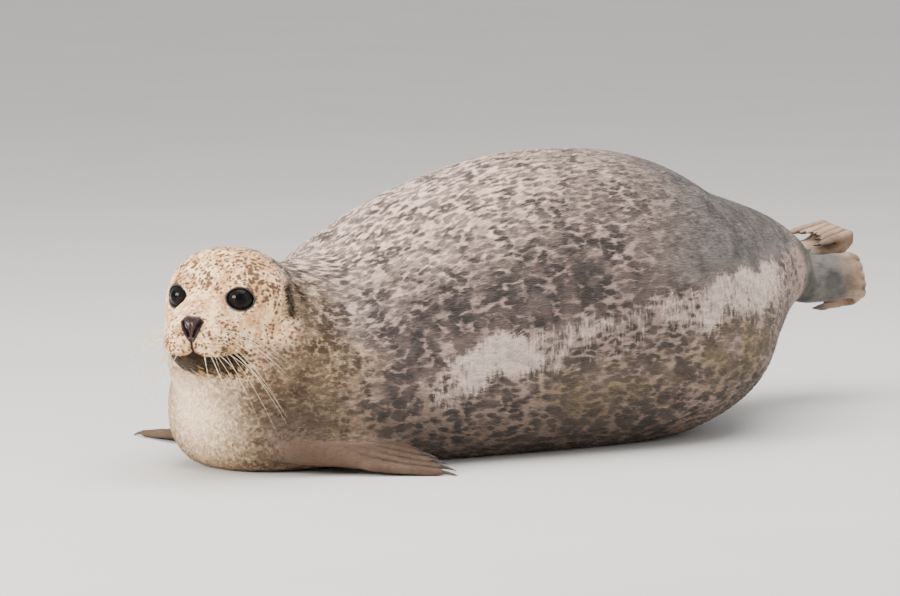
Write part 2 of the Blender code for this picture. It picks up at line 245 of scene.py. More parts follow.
# The face gets finer triangles, the lids and the muzzle finer ones again, and all is smoothed.
bm.verts.ensure_lookup_table()
bm.verts.index_update()
ahead, left, up = head_place(verts_of(bm))
side = np.abs(left)
finer(bm, (ahead > -30) & (up > -108) & (up < 45) & (side < 78))
ahead, left, up = head_place(verts_of(bm))
side = np.abs(left)
near_eye = np.hypot(side - 47, up + 1) < 27
finer(bm, (ahead > -12) & (near_eye | ((ahead > 36) & (up > -84))))
ahead, _, up = head_place(verts_of(bm))
soft = [v for v in bm.verts if ahead[v.index] > -25 and up[v.index] > -110]
for _ in range(6):
    bmesh.ops.smooth_vert(bm, verts=soft, factor=0.5, use_axis_x=True, use_axis_y=True,
                          use_axis_z=True)
bm.to_mesh(skin.data)
bm.free()
skin.data.shade_smooth()

# Under the coat: the hide lies below the solids by the depth of the hair.
places = points_of(skin.data)
limb, root = limb_shares(places)
face = face_share(places)
depth = BODY_COAT_DEPTH + (LIMB_COAT_DEPTH - BODY_COAT_DEPTH) * np.maximum(limb, face)
places -= normals_of(skin.data) * depth[:, None]
places[:, 2] = np.maximum(places[:, 2], FLOOR_GAP)


def bell(distance, width):
    """1 on a line or point, falling smoothly to nothing within about two widths."""
    return np.exp(-((np.asarray(distance) / width) ** 2))


def nearest_run(points, line):
    """Each point's distance to a bent line, and the heading of the line's nearest part."""
    least, heading = np.full(len(points), np.inf), np.zeros(points.shape)
    for start, end in zip(line, line[1:]):
        start, run = np.array(start, float), np.subtract(end, start).astype(float)
        t = np.clip((points - start) @ run / (run @ run), 0, 1)
        gap = np.linalg.norm(points - start - t[:, None] * run, axis=1)
        closer = gap < least
        least[closer] = gap[closer]
        heading[closer] = run / np.linalg.norm(run)
    return least, heading


def muzzle_place(points):
    """Millimetres ahead of the eyes, across from the muzzle's middle line, and up."""
    ahead, left, up = head_place(points)
    return ahead, left - MUZZLE_TURN * np.clip(ahead, 0, None), up


def lip_level(side):
    """Height of the upper lip's edge, by the distance to the side."""
    return np.interp(side, (0, 8, 18, 30, 40, 50, 58), (-64, -68, -71, -71, -69, -66, -63))


ahead, across, up = muzzle_place(places)
side = np.abs(across)
front = ramp(ahead, 25, 45)
# Lips, whisker pads and the recessed lower jaw
above_lip = up - lip_level(side)
jaw = ramp(ahead, 5, 30) * ramp(-side, -62, -50)
pad = bell(np.hypot(side - 29, up + 52), 17) * ramp(ahead, 10, 35)
swell = 2.6 * pad
swell += 1.4 * bell(above_lip - 5, 4.0) * jaw * ramp(side, 2, 9)
swell -= 3.6 * bell(above_lip, 1.7) * jaw
swell -= 5.0 * ramp(-above_lip, 0.5, 4) * (1 - ramp(-above_lip, 22, 44)) * jaw
# Nose pad, nostrils and the cleft of the upper lip
nose_wide = np.interp(up, (-52, -46, -36, -26, -20), (3, 7, 12.5, 15.5, 10))
on_nose = ramp(nose_wide - side, -1.0, 1.5) * ramp(up, -53, -50) * ramp(-up, 19, 22) * front
swell += 1.3 * on_nose
slit_line = (12.5, -26.5), (9.0, -33), (5.2, -39), (3.4, -45)
nostril, _ = nearest_run(np.stack((side, up), axis=1), slit_line)
slit_width = np.interp(up, (-46, -38, -28, -24), (1.2, 1.7, 2.3, 1.6))
slit = bell(nostril, slit_width) * front * ramp(up, -50, -44)
swell += 1.1 * bell(nostril - 4.4, 1.8) * front * ramp(side, 6, 10)
swell -= 5.2 * slit
philtrum = bell(across, 1.5) * ramp(up, -68, -62) * ramp(-up, 46, 52) * front
swell -= 2.2 * philtrum
swell -= 0.8 * bell(across, 1.3) * ramp(up, -50, -44) * ramp(-up, 26, 34) * front
# Brows, and the hollow between eye and muzzle
swell += 1.3 * bell(np.hypot((side - 33) / 1.4, up - 22), 7) * ramp(ahead, -25, -5)
swell -= 1.4 * bell(np.hypot(side - 24, up + 17), 9) * ramp(ahead, 5, 25)
# Ear pits, with a low rim before each
left = head_place(places)[1]
ear = np.linalg.norm(np.stack((ahead + 62, np.abs(left) - 84, (up + 6) * 0.6), axis=1), axis=1)
swell += 0.9 * bell(ear - 6.5, 2.2) - 3.4 * bell(ear, 3.2)
places += normals_of(skin.data) * (MM * swell)[:, None]

# Lids: inside its opening the hide dives behind the ball, and around it rises from the ball
lid_ring = np.zeros(len(places))
gaze = {}
for sign, node in ((1, "eye_left"), (-1, "eye_right")):
    look = math.cos(EYE_TURN) * to_front + sign * math.sin(EYE_TURN) * to_left
    look = (look + Vector((0, 0, EYE_LIFT))).normalized()
    outward = (sign * to_left - look * (sign * to_left).dot(look)).normalized()
    upward = look.cross(outward) * (1 if look.cross(outward).z > 0 else -1)
    ball = middle_of(node) + MM * EYE_FORWARD * look
    gaze[node] = (ball, look, outward, upward)
    offset = (places - np.array(ball)) / MM
    out, rise, high = (offset @ np.array(axis) for axis in (outward, upward, look))
    x = out * math.cos(LID_TILT) + rise * math.sin(LID_TILT)
    y = rise * math.cos(LID_TILT) - out * math.sin(LID_TILT)
    # Pointed corners: the opening narrows towards both ends of its length.
    corner = 1 + 0.10 * np.clip(np.abs(x) / LID_WIDE, 0, 1.2) ** 3
    rho = np.hypot(x / (LID_WIDE * 1.06), y / LID_HIGH * corner)
    near = (high > 0) & (rho < 2.3) & (np.hypot(x, y) < 40)
    reach = np.hypot(x, y) / np.maximum(rho, 1e-6)
    margin = np.sqrt(np.maximum((EYE_RADIUS + 1.1) ** 2 - np.minimum(reach, 18.5) ** 2, 4))
    new_high = margin + (high - margin) * ramp(rho, 1.0, 1.95)
    new_high += 0.9 * bell(rho - 1.13, 0.08)
    new_high -= 0.7 * bell(rho - 1.42, 0.07) * ramp(y, -4, 8)
    slide = np.ones(len(places))
    rim = (rho >= 0.99) & (rho < 1.06)
    wall = (rho >= 0.88) & (rho < 0.99)
    inner = rho < 0.88
    slide[rim] = 1.0 / rho[rim]
    slide[wall] = 0.975 / rho[wall]
    new_high[wall] = margin[wall] - 2.2
    inside = np.maximum((EYE_RADIUS - 2.6) ** 2 - (x**2 + y**2), 1)
    new_high[inner] = np.sqrt(inside)[inner]
    sx, sy = x * slide, y * slide
    out = sx * math.cos(LID_TILT) - sy * math.sin(LID_TILT)
    rise = sy * math.cos(LID_TILT) + sx * math.sin(LID_TILT)
    moved = out[:, None] * np.array(outward) + rise[:, None] * np.array(upward)
    moved = np.array(ball) + MM * (moved + new_high[:, None] * np.array(look))
    places[near] = moved[near]
    lid_ring = np.maximum(lid_ring, np.where(near, 1 - ramp(rho, 1.13, 1.30), 0))
put_points(skin.data, places)

# ---- Flippers' digits ----------------------------------------------------------------------
# Five digits run through each flipper's skin and end in a claw. The skin dips between them, and
# the short hair on them follows them. Each flipper is laid out flat from its root, in
# millimetres, curled over its thickness, and set at its place on the body, as the solid one is.

FORE_KNUCKLE, HIND_KNUCKLE = 96, 92
# Digits, first to fifth: place across at the knuckle and at the tip, length from the root.
FORE_FAN = ((32, 38, 208), (17, 22, 204), (1, 4, 194), (-14, -13, 180), (-28, -30, 162))
HIND_FAN = ((25, 33, 240), (13, 17, 222), (0, 0, 212), (-13, -17, 221), (-25, -33, 238))
FLIPPERS = (  # knuckle, fan, root, direction, thickness, and the curl's start, length and angle
    ("fore_flipper_left", FORE_KNUCKLE, FORE_FAN, (160.3, -504.9, 44.5),
     (0.52, 0.84, -0.19), (0.40, -0.02, 0.88), (60, 150, 0.19)),
    ("fore_flipper_right", FORE_KNUCKLE, FORE_FAN, (-87.7, -402.9, 41.5),
     (-0.95, 0.08, -0.27), (-0.20, 0.0, 0.98), (50, 160, 0.27)),
    ("hind_flipper_left", HIND_KNUCKLE, HIND_FAN, (-17.7, 517.1, 178),
     (0.06, 1.0, 0.01), (0.95, -0.05, 0.31), (106, 105, -3.35)),
    ("hind_flipper_right", HIND_KNUCKLE, HIND_FAN, (-93.7, 527.1, 184),
     (0.03, 0.968, 0.25), (0.18, -0.25, 0.95), (138, 36, 3.12)),
)
CLAW_LENGTH, CLAW_SUNK, CLAW_DROOP = 17, 0.35, 0.22
WEB_DIP, WEB_WIDTH, DIGIT_REACH = 2.6, 3.2, (-16, -9)


def laid(point, root, along, thick, curl):
    """Where a point of the flat flipper lies once it is curled and set in place."""
    start, length, angle = curl
    x, y, z = point
    share = min(max((x - start) / length, 0), 1)
    if share > 0:
        radius, past = length / angle, max(x - start - length, 0)
        sine, cosine = math.sin(angle * share), math.cos(angle * share)
        x = start + (radius - z) * sine + past * cosine
        z = radius - (radius - z) * cosine + past * sine
    forward = Vector(along).normalized()
    sideways = Vector(thick).cross(forward).normalized()
    return Vector(root) + x * forward + y * sideways + z * forward.cross(sideways)


DIGITS, HIND_CLAWS = {}, {}
for node, knuckle, fan, *placing in FLIPPERS:
    hand = -1 if node.endswith("left") else 1
    DIGITS[node], claws = [], []
    for at_knuckle, at_tip, length in fan:
        base, tip = Vector((knuckle, hand * at_knuckle, 0)), Vector((length, hand * at_tip, 0))
        DIGITS[node].append([laid(base.lerp(tip, t), *placing) for t in (0, 0.25, 0.5, 0.75, 1)])
        heading = (tip - base).normalized()
        claw = [tip + CLAW_LENGTH * ((t - CLAW_SUNK) * heading - Vector((0, 0, CLAW_DROOP * t**2)))
                for t in (0, 0.5, 1)]
        claws.append([laid(point, *placing) for point in claw])
    if node.startswith("hind"):
        HIND_CLAWS[node] = claws


def along_digits(points):
    """Each point's nearest digit direction, and how nearly it lies midway between two digits."""
    heading = np.tile((0.0, 1.0, 0.0), (len(points), 1))
    between = np.zeros(len(points))
    at = points / MM
    for node, lines in DIGITS.items():
        low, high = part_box(node)
        near = np.all((points > np.array(low) - 0.01) & (points < np.array(high) + 0.01), axis=1)
        rows = at[near]
        if not len(rows):
            continue
        distances, headings = zip(*(nearest_run(rows, line) for line in lines))
        distances, headings = np.array(distances), np.array(headings)
        order = np.argsort(distances, axis=0)
        rank = np.arange(len(rows))
        heading[near] = headings[order[0], rank]
        apart = distances[order[1], rank] - distances[order[0], rank]
        between[near] = bell(apart, WEB_WIDTH) * ramp(-distances[order[0], rank], *DIGIT_REACH)
    return heading, between


heading, between = along_digits(places)
web = between * ramp(limb, 0.5, 1)
places -= normals_of(skin.data) * (MM * WEB_DIP * web)[:, None]
put_points(skin.data, places)

# ---- Skin's unwrap -------------------------------------------------------------------------
# The hide is laid out flat in pieces cut on its own shape. The head is swollen while that is
# done, so that the face, where detail is finest, gets more of the room.

swollen = np.array(brow_point) + (places - np.array(brow_point)) * (1 + 0.9 * face)[:, None]
put_points(skin.data, swollen)
bpy.context.view_layer.objects.active = skin
skin.select_set(True)
skin.data.uv_layers.new(name="OFBake")
bpy.ops.object.mode_set(mode="EDIT")
bpy.ops.mesh.select_all(action="SELECT")
bpy.ops.uv.smart_project(angle_limit=1.15, island_margin=0.003, scale_to_bounds=True)
bpy.ops.object.mode_set(mode="OBJECT")
put_points(skin.data, places)
skin_normals = normals_of(skin.data)

# ---- Markings ------------------------------------------------------------------------------
# A harbour seal's coat: dark rosettes on buff, paler flecked shoulders, a smooth grey rump, a
# pale band of painted sheen, light on the wet flank, with algae stains below it, and a cream,
# speckled face. Painted shade darkens the lower side, deepens the dark chin under the lip, and
# lies around the nose, in the nostril slits and in the dips between the digits. The masks lie
# on the hide and on each tuft alike; the shared group turns them into colour.

# The painted sheen band's middle line, and how strong it is, at places along the body.
BAND_ALONG = (-0.36, -0.29, -0.22, -0.08, 0.05, 0.15, 0.24, 0.32)
BAND_LEVEL = (0.085, 0.125, 0.148, 0.168, 0.188, 0.202, 0.210, 0.205)
BAND_STEPS = (-0.37, -0.31, -0.26, -0.20, -0.15, -0.06, 0.03, 0.20, 0.30, 0.44)
BAND_STRENGTH = (0.0, 0.55, 1.15, 1.1, 0.52, 0.46, 0.64, 1.0, 0.85, 0.0)
MASKS = {
    "coat_a": ("pale", "dense", "band", "grey"),
    "coat_b": ("ochre", "head", "limb", "under"),
    "coat_c": ("throat", "neck", "dark", "nose"),
    "coat_d": ("speckle", "bare", "tuft_tint", "ankle"),
}


def blot(points, centre, reach):
    """A soft-edged patch, in the same place on both sides of the body."""
    across = (np.abs(points[:, 0]) - centre[0]) / reach[0]
    along, height = (points[:, 1] - centre[1]) / reach[1], (points[:, 2] - centre[2]) / reach[2]
    return np.exp(-(across**2 + along**2 + height**2))


def body_marks(points, head):
    """Masks of trunk and neck. On the right the painted sheen band is weaker and the rump's edge
    softer.
    """
    y, z = points[:, 1], points[:, 2]
    far = ramp(-points[:, 0], -0.02, 0.06)
    level = np.interp(y, BAND_ALONG, BAND_LEVEL) + 0.006 * np.sin(y * 47) + 0.004 * np.sin(y * 101)
    # The band: painted sheen of light on the wet flank, with fewer spots in it
    band = ramp(level + 0.036 - z, 0, 0.022) * ramp(z - level, -0.060, -0.008)
    band *= np.interp(y, BAND_STEPS, BAND_STRENGTH)
    band *= 1 - 0.55 * far
    above_band = z - level + far * (0.02 + 0.016 * np.sin(y * 23))
    grey = ramp(above_band, 0.018 - 0.02 * far, 0.040 + 0.05 * far) * ramp(y, -0.04, 0.15)
    grey *= 1 - 0.75 * ramp(z, 0.27, 0.34) * (1 - ramp(y, 0.02, 0.2))
    pale_line = np.interp(y, (-0.50, -0.30, -0.05), (0.15, 0.225, 0.31))
    pale = ramp(z, pale_line - 0.03, pale_line + 0.09) * (1 - ramp(y, -0.12, 0.12))
    pale = np.maximum(pale, 0.45 * ramp(z, 0.30, 0.37) * (1 - ramp(y, 0.05, 0.25)))
    dense = 0.675 + 0.10 * blot(points, (0.26, -0.12, 0.21), (0.3, 0.30, 0.07)) + 0.07 * pale
    dense += 0.13 * ramp(-y, 0.40, 0.47) - 0.30 * band - 0.08 * ramp(-z, -0.12, -0.06)
    dense -= 0.50 * ramp(y, 0.36, 0.49)
    # Algae stains: two patches under the band, one by the flipper, one faint and long
    ochre = blot(points, (0.26, -0.08, 0.078), (0.2, 0.075, 0.040))
    ochre += blot(points, (0.26, 0.20, 0.135), (0.2, 0.12, 0.042))
    ochre += 0.6 * blot(points, (0.18, -0.45, 0.07), (0.1, 0.05, 0.03))
    ochre += 0.45 * blot(points, (0.26, 0.06, 0.10), (0.2, 0.28, 0.040))
    # The tan of the neck starts on a wavy line; below, brown painted shade darkens the lower side.
    towards_neck = -y + 0.016 * np.sin(z * 55) + 0.008 * np.sin(z * 131 + y * 60)
    neck = ramp(towards_neck, 0.375, 0.485) * (1 - head) * ramp(-z, -0.28, -0.21)
    # Painted shade on the lower side, darker towards the floor and deepest by the near fore flipper
    under = (1 - ramp(z, 0.03, 0.15)) * ramp(y, -0.44, -0.38)
    under += 1.4 * blot(points, (0.185, -0.52, 0.056), (0.062, 0.09, 0.075))
    under *= 1 - 0.6 * blot(points, (0.2, 0.12, 0.06), (0.3, 0.07, 0.03))
    throat = blot(points, (0.075, -0.615, 0.085), (0.075, 0.06, 0.085)) * (1 - head)
    ankle = ramp(y, 0.46, 0.50) * (1 - ramp(y, 0.585, 0.635)) * ramp(points[:, 0], -0.085, -0.060)
    return {"band": band, "grey": grey, "pale": pale, "dense": dense, "ochre": ochre, "neck": neck,
            "under": under, "throat": throat, "ankle": ankle}


def face_darks(ahead, across, up, left):
    """The face's dark marks: the dark chin deepened by painted shade under the lip, rows of whisker
    roots, ear openings, and painted shade around the nose.
    """
    side, front = np.abs(across), ramp(ahead, 25, 45)
    below_lip = lip_level(side) - up
    torn = 4.5 * np.sin(left * 0.42 + 1.4 * np.sin(ahead * 0.3))
    torn += 3.5 * np.sin(left * 0.95 + ahead * 0.6)
    # The chin: dark hair, deepened with painted shade under the overhanging lip
    chin = ramp(below_lip, -0.5, 3) * (1 - ramp(below_lip + torn, 21, 44))
    chin *= ramp(ahead, -14, 14) * ramp(-side, -66, -46)
    row = np.cos(2 * math.pi * (up + 41 + 0.1 * side) / WHISKER_ROW) * ramp(side, 12, 20)
    row = ramp(row, 0.25, 0.9) * bell(np.hypot(side - 32, up + 54), 18) * ramp(-below_lip, 0, 3)
    slant = ahead + 61 + 0.28 * (up + 6)
    below_crown = 1 - ramp(up, 10, 20)
    ear = bell(slant + 6, 17) * ramp(up, -36, -24) * below_crown
    ear = np.maximum(ear, bell(slant + 34, 8) * ramp(up, -18, -8) * below_crown)
    ear *= ramp(np.abs(left), 66, 76)
    # Painted shade around the nose pad, between the whisker pads below it, and over the bridge
    shade = 0.30 * bell(np.hypot(across, up + 34) - 14, 7) * front
    shade += 0.55 * bell(across, 8) * ramp(up, -78, -66) * (1 - ramp(up, -58, -44)) * front
    shade += 0.20 * bell(across, 8) * ramp(up, -25, -12) * (1 - ramp(up, 2, 22))
    return chin + ear + 0.5 * row + shade


def face_marks(ahead, across, up, left):
    """Masks of the nose pad, with its cleft, and of how thickly the face is speckled."""
    side = np.abs(across)
    nose_wide = np.interp(up, (-54, -46, -36, -26, -20), (3, 8, 13.5, 16.5, 11))
    nose = ramp(nose_wide - side, -1.5, 2) * ramp(up, -55, -50) * ramp(-up, 17, 21)
    cleft = bell(across, 2.0) * ramp(ahead, 35, 50) * ramp(up, -70, -64) * ramp(-up, 44, 52)
    speckle = 0.49 + 0.11 * ramp(up, 5, 45) + 0.24 * ramp(-up, 58, 80) * ramp(side, 40, 60)
    speckle += 0.10 * bell(np.hypot(side - 32, up + 52), 18)  # whisker pads
    speckle -= 0.30 * bell(np.hypot(side - 22, up + 12), 16)  # between eye and muzzle
    speckle += 0.16 * bell(np.hypot(side - 47, up - 24), 14)  # over the eyes
    speckle += 0.22 * bell(np.hypot(left - 62, up - 12), 16)  # left temple
    speckle -= 0.25 * bell(np.hypot(left - 63, up + 28), 14)  # left cheek
    speckle += 0.6 * bell(np.hypot((left - 2) / 0.7, up - 20), 8)  # a smudge on the brow
    return {"nose": np.maximum(nose * ramp(ahead, 25, 45), cleft), "speckle": speckle}


def masks_at(points, limb, bare, web, tuft_tint=0.5):
    """The coat's masks at points, packed four to a colour attribute."""
    ahead, across, up = muzzle_place(points)
    left = head_place(points)[1]
    head = ramp(ahead, -88, -50) * ramp(up, -125, -95) * ramp(-np.abs(left), -112, -90)
    head *= 1 - 0.8 * ramp(-up, 48, 78) * ramp(-ahead, -14, 24)
    marks = {"head": head, "limb": limb, "bare": bare,
             # The dips between the digits get painted shade
             "dark": face_darks(ahead, across, up, left) + 0.8 * web,
             "tuft_tint": np.broadcast_to(tuft_tint, len(points)),
             **body_marks(points, head), **face_marks(ahead, across, up, left)}
    return {layer: np.stack([marks[kind] for kind in kinds], axis=1)
            for layer, kinds in MASKS.items()}


def wear_masks(mesh, masks):
    for name, rows in masks.items():
        layer = mesh.attributes.new(name, "FLOAT_COLOR", "POINT")
        layer.data.foreach_set("color", np.clip(rows, 0, 4).astype(np.float32).ravel())


# The bare mask: the lids' own black rim, and painted shade in the nostril slits
skin_masks = masks_at(places, limb, np.maximum(lid_ring, 0.85 * slit), web)
wear_masks(skin.data, skin_masks)


def feed(tree, node, inputs):
    """Sets a node's inputs to values or to other nodes' outputs."""
    for name, value in inputs.items():
        if isinstance(value, bpy.types.NodeSocket):
            tree.links.new(value, node.inputs[name])
        else:
            node.inputs[name].default_value = value


def add(tree, kind, inputs=None, **settings):
    """A new node with its settings and inputs."""
    made = tree.nodes.new(kind)
    for name, value in settings.items():
        setattr(made, name, value)
    feed(tree, made, inputs or {})
    return made


def maths(tree, operation, a, b, clamp=False):
    made = add(tree, "ShaderNodeMath", {0: a, 1: b}, operation=operation, use_clamp=clamp)
    return made.outputs[0]


def plus(tree, a, b):
    return maths(tree, "ADD", a, b)


def less(tree, a, b):
    return maths(tree, "SUBTRACT", a, b)


def times(tree, a, b):
    return maths(tree, "MULTIPLY", a, b)


def greater(tree, a, b):
    return maths(tree, "MAXIMUM", a, b)


def remainder(tree, share):
    """What a share leaves of one, and never below nothing."""
    return maths(tree, "SUBTRACT", 1.0, share, clamp=True)


def stirred(tree, value, noise, amount):
    """A value pushed up where a noise is high and down where it is low."""
    return plus(tree, value, times(tree, less(tree, noise, 0.5), amount))


def mixed(tree, share, below, above):
    return add(tree, "ShaderNodeMix", {0: share, 2: below, 3: above}).outputs[0]


def rising(tree, value, low, high, top=1.0):
    """0 below low, top above high, smoothly between; low may be the greater."""
    made = add(tree, "ShaderNodeMapRange", {"Value": value}, interpolation_type="SMOOTHSTEP")
    made.inputs["From Min"].default_value, made.inputs["From Max"].default_value = (
        (low, high) if low < high else (high, low))
    made.inputs["To Min"].default_value, made.inputs["To Max"].default_value = (
        (0.0, top) if low < high else (top, 0.0))
    return made.outputs["Result"]


def tinted(tree, share, below, above, kind="MIX"):
    made = add(tree, "ShaderNodeMix", {0: share, 6: below, 7: above}, data_type="RGBA",
               blend_type=kind, clamp_factor=True)
    return made.outputs[2]


def toned(tree, noise, low, high, tones):
    """A patchy tone between a darker and a paler colour."""
    return tinted(tree, rising(tree, noise, low, high), *tones)


def vectors(tree, operation, inputs):
    return add(tree, "ShaderNodeVectorMath", inputs, operation=operation).outputs[0]


def stretched(tree, vector, scale):
    return vectors(tree, "MULTIPLY", {0: vector, 1: scale})


def object_place(tree):
    return add(tree, "ShaderNodeTexCoord").outputs["Object"]


def grain(tree, vector, scale, detail=2.0, roughness=0.5):
    return add(tree, "ShaderNodeTexNoise", {"Vector": vector, "Scale": scale, "Detail": detail,
                                           "Roughness": roughness}).outputs["Fac"]


def cells(tree, vector, scale, smooth=0.35):
    return add(tree, "ShaderNodeTexVoronoi", {"Vector": vector, "Scale": scale,
                                             "Smoothness": smooth, "Randomness": 1.0},
               feature="SMOOTH_F1").outputs["Distance"]


# Colours of hair and skin. A pair is the darker and the paler end of a patchy tone.
BUFF = (0.275, 0.197, 0.165, 1), (0.40, 0.29, 0.243, 1)
SHOULDER_CREAM = (0.80, 0.595, 0.485, 1)
NECK_TAN = (0.50, 0.345, 0.19, 1)
ALGAE_OCHRE = (0.27, 0.203, 0.112, 1)
# Brown painted shade on the lower side of the body
LOWER_SIDE_SHADE = (0.105, 0.074, 0.055, 1)
RUMP_GREY = (0.104, 0.095, 0.089, 1), (0.21, 0.182, 0.166, 1)
FACE_CREAM = (0.62, 0.335, 0.155, 1), (1.0, 0.71, 0.42, 1)
THROAT_CREAM = (0.92, 0.72, 0.50, 1)
# Pale hair of the painted sheen band, light on the wet flank
SHEEN_PALE = (0.60, 0.485, 0.42, 1)
HIND_LEATHER = (0.22, 0.142, 0.095, 1), (0.40, 0.275, 0.19, 1)
FORE_LEATHER = (0.075, 0.045, 0.03, 1)
ANKLE_GREY = (0.060, 0.058, 0.052, 1), (0.155, 0.143, 0.127, 1)
FLANK_SPOT = (0.032, 0.028, 0.027, 1)
SHOULDER_SPOT = (0.047, 0.037, 0.033, 1)
NECK_SPOT = (0.058, 0.036, 0.024, 1)
FACE_SPOT = (0.110, 0.058, 0.032, 1)
# Black of the face's dark marks, and of painted shade under the lip, by the nose and between the
# digits
SHADE_AND_MARK_BLACK = (0.011, 0.005, 0.002, 1)
NOSE_LEATHER = (0.016, 0.007, 0.0065, 1), (0.055, 0.023, 0.021, 1)
# The lids' own black, also used as painted shade in the nostril slits
LID_BLACK_AND_SLIT_SHADE = (0.012, 0.010, 0.010, 1)

coat_group = bpy.data.node_groups.new("Seal coat", "ShaderNodeTree")
for socket_name, kind in (("Colour", "NodeSocketColor"), ("Roughness", "NodeSocketFloat"),
                          ("Height", "NodeSocketFloat"), ("Wet", "NodeSocketFloat")):
    coat_group.interface.new_socket(socket_name, in_out="OUTPUT", socket_type=kind)
g = coat_group
masks = []
for name in MASKS:
    layer = add(g, "ShaderNodeAttribute", attribute_name=name)
    parts = add(g, "ShaderNodeSeparateColor", {0: layer.outputs["Color"]})
    masks += [*parts.outputs[:3], layer.outputs["Alpha"]]
(pale, dense, band, grey, ochre, head, limb_mask, under,
 throat, neck, dark_mask, nose, speckle, bare, tuft_tint, ankle) = masks

# Streaks along the hair, streaks that stand up in the painted sheen band, and patches
spot_at = object_place(g)
hair = grain(g, stretched(g, spot_at, (1.0, 0.13, 1.0)), 620.0, 3.0, 0.6)
clumps = grain(g, stretched(g, spot_at, (1.0, 0.22, 1.0)), 190.0, 3.0, 0.6)
upright = grain(g, stretched(g, spot_at, (1.0, 1.0, 0.22)), 230.0, 3.0, 0.65)
broad = grain(g, spot_at, 9.0, 3.0)
patchy = grain(g, spot_at, 26.0, 3.0)
ragged = stirred(g, times(g, less(g, clumps, 0.5), 0.60), hair, 0.35)
wander = add(g, "ShaderNodeTexNoise", {"Vector": spot_at, "Scale": 38.0, "Detail": 3.0})
wander = vectors(g, "SUBTRACT", {0: wander.outputs["Color"], 1: (0.5, 0.5, 0.5)})
warped = vectors(g, "ADD", {0: spot_at, 1: vectors(g, "SCALE", {0: wander, "Scale": 0.013})})

# Spots are the middles of wandering cells: rosettes on the flank, small flecks on the shoulders
# and back, closer ones on the neck, and fine speckle on the face
rosette = plus(g, cells(g, stretched(g, warped, (1.0, 0.60, 1.0)), 72.0), ragged)
rosette = stirred(g, rosette, patchy, -0.8)
size = stirred(g, times(g, dense, 0.75), grain(g, spot_at, 13.0), 0.45)
rosette = rising(g, less(g, rosette, size), 0.21, -0.18)
rosette = times(g, rosette, remainder(g, times(g, greater(g, pale, neck), 0.85)))
fleck = plus(g, cells(g, stretched(g, warped, (1.0, 0.45, 1.0)), 128.0), ragged)
fleck = rising(g, less(g, fleck, times(g, dense, 0.77)), 0.18, -0.16)
freckle = plus(g, cells(g, stretched(g, warped, (1.0, 0.8, 1.0)), 205.0), times(g, ragged, 0.6))
freckle = stirred(g, freckle, grain(g, spot_at, 70.0), -0.75)
close = rising(g, less(g, freckle, times(g, dense, 0.80)), 0.18, -0.15)
freckle = rising(g, less(g, freckle, times(g, speckle, 0.72)), 0.14, -0.12)
spots = mixed(g, times(g, neck, 0.65), greater(g, rosette, fleck), close)
spots = times(g, spots, plus(g, rising(g, grain(g, spot_at, 31.0), 0.36, 0.60, 0.24), 0.76))
spots = mixed(g, head, spots, freckle)
calm = greater(g, greater(g, times(g, grey, 0.68), limb_mask), times(g, ochre, 0.25))
spots = times(g, spots, remainder(g, calm))
spots = times(g, spots, remainder(g, times(g, throat, 0.9)))

# The ground between the spots, from the back down and then forward to the face
ground = toned(g, broad, 0.35, 0.65, BUFF)
ground = tinted(g, pale, ground, SHOULDER_CREAM)
ground = tinted(g, times(g, neck, 0.9), ground, NECK_TAN)
ground = tinted(g, times(g, ochre, rising(g, patchy, 0.30, 0.60)), ground, ALGAE_OCHRE)
# Painted shade on the lower side
ground = tinted(g, times(g, under, 0.85), ground, LOWER_SIDE_SHADE)
ground = tinted(g, grey, ground, toned(g, patchy, 0.32, 0.68, RUMP_GREY))
mottle = plus(g, grain(g, spot_at, 45.0), times(g, grain(g, spot_at, 170.0), 0.8))
ground = tinted(g, head, ground, toned(g, mottle, 0.74, 1.04, FACE_CREAM))
ground = tinted(g, throat, ground, THROAT_CREAM)
# Painted sheen: the band of light on the wet flank, pale and streaky
painted_sheen = stirred(g, stirred(g, band, upright, 2.0), patchy, 1.6)
painted_sheen = times(g, rising(g, painted_sheen, 0.38, 0.95), rising(g, band, 0.02, 0.2))
ground = tinted(g, times(g, painted_sheen, 0.85), ground, SHEEN_PALE)

# The flippers' thin-haired skin: dark on the fore ones, pale on the hind ones, grey at the ankle
fore = rising(g, add(g, "ShaderNodeSeparateXYZ", {0: spot_at}).outputs["Y"], 0.0, -0.1)
leather = toned(g, patchy, 0.35, 0.65, HIND_LEATHER)
leather = tinted(g, times(g, fore, 0.92), leather, FORE_LEATHER)
leather = tinted(g, ankle, leather, toned(g, patchy, 0.35, 0.65, ANKLE_GREY))
ground = tinted(g, greater(g, limb_mask, ankle), ground, leather)

# Spots on the ground, then the dark marks with their painted shade, then light and shade from hair
# to hair
spot_tone = tinted(g, pale, FLANK_SPOT, SHOULDER_SPOT)
spot_tone = tinted(g, neck, spot_tone, NECK_SPOT)
spot_tone = tinted(g, head, spot_tone, FACE_SPOT)
# Spots fade under the painted sheen
spots = times(g, spots, remainder(g, times(g, painted_sheen, 0.7)))
colour = tinted(g, times(g, spots, 0.94), ground, spot_tone)
marks_and_shade = times(g, dark_mask, plus(g, times(g, freckle, 0.15), 0.965))
colour = tinted(g, marks_and_shade, colour, SHADE_AND_MARK_BLACK)
shade = plus(g, plus(g, times(g, hair, 0.75), times(g, clumps, 0.45)), 0.42)
shade = times(g, shade, plus(g, times(g, tuft_tint, 0.6), 0.7))
shade_colour = add(g, "ShaderNodeCombineColor", {0: shade, 1: shade, 2: shade}).outputs[0]
colour = tinted(g, 1.0, colour, shade_colour, "MULTIPLY")

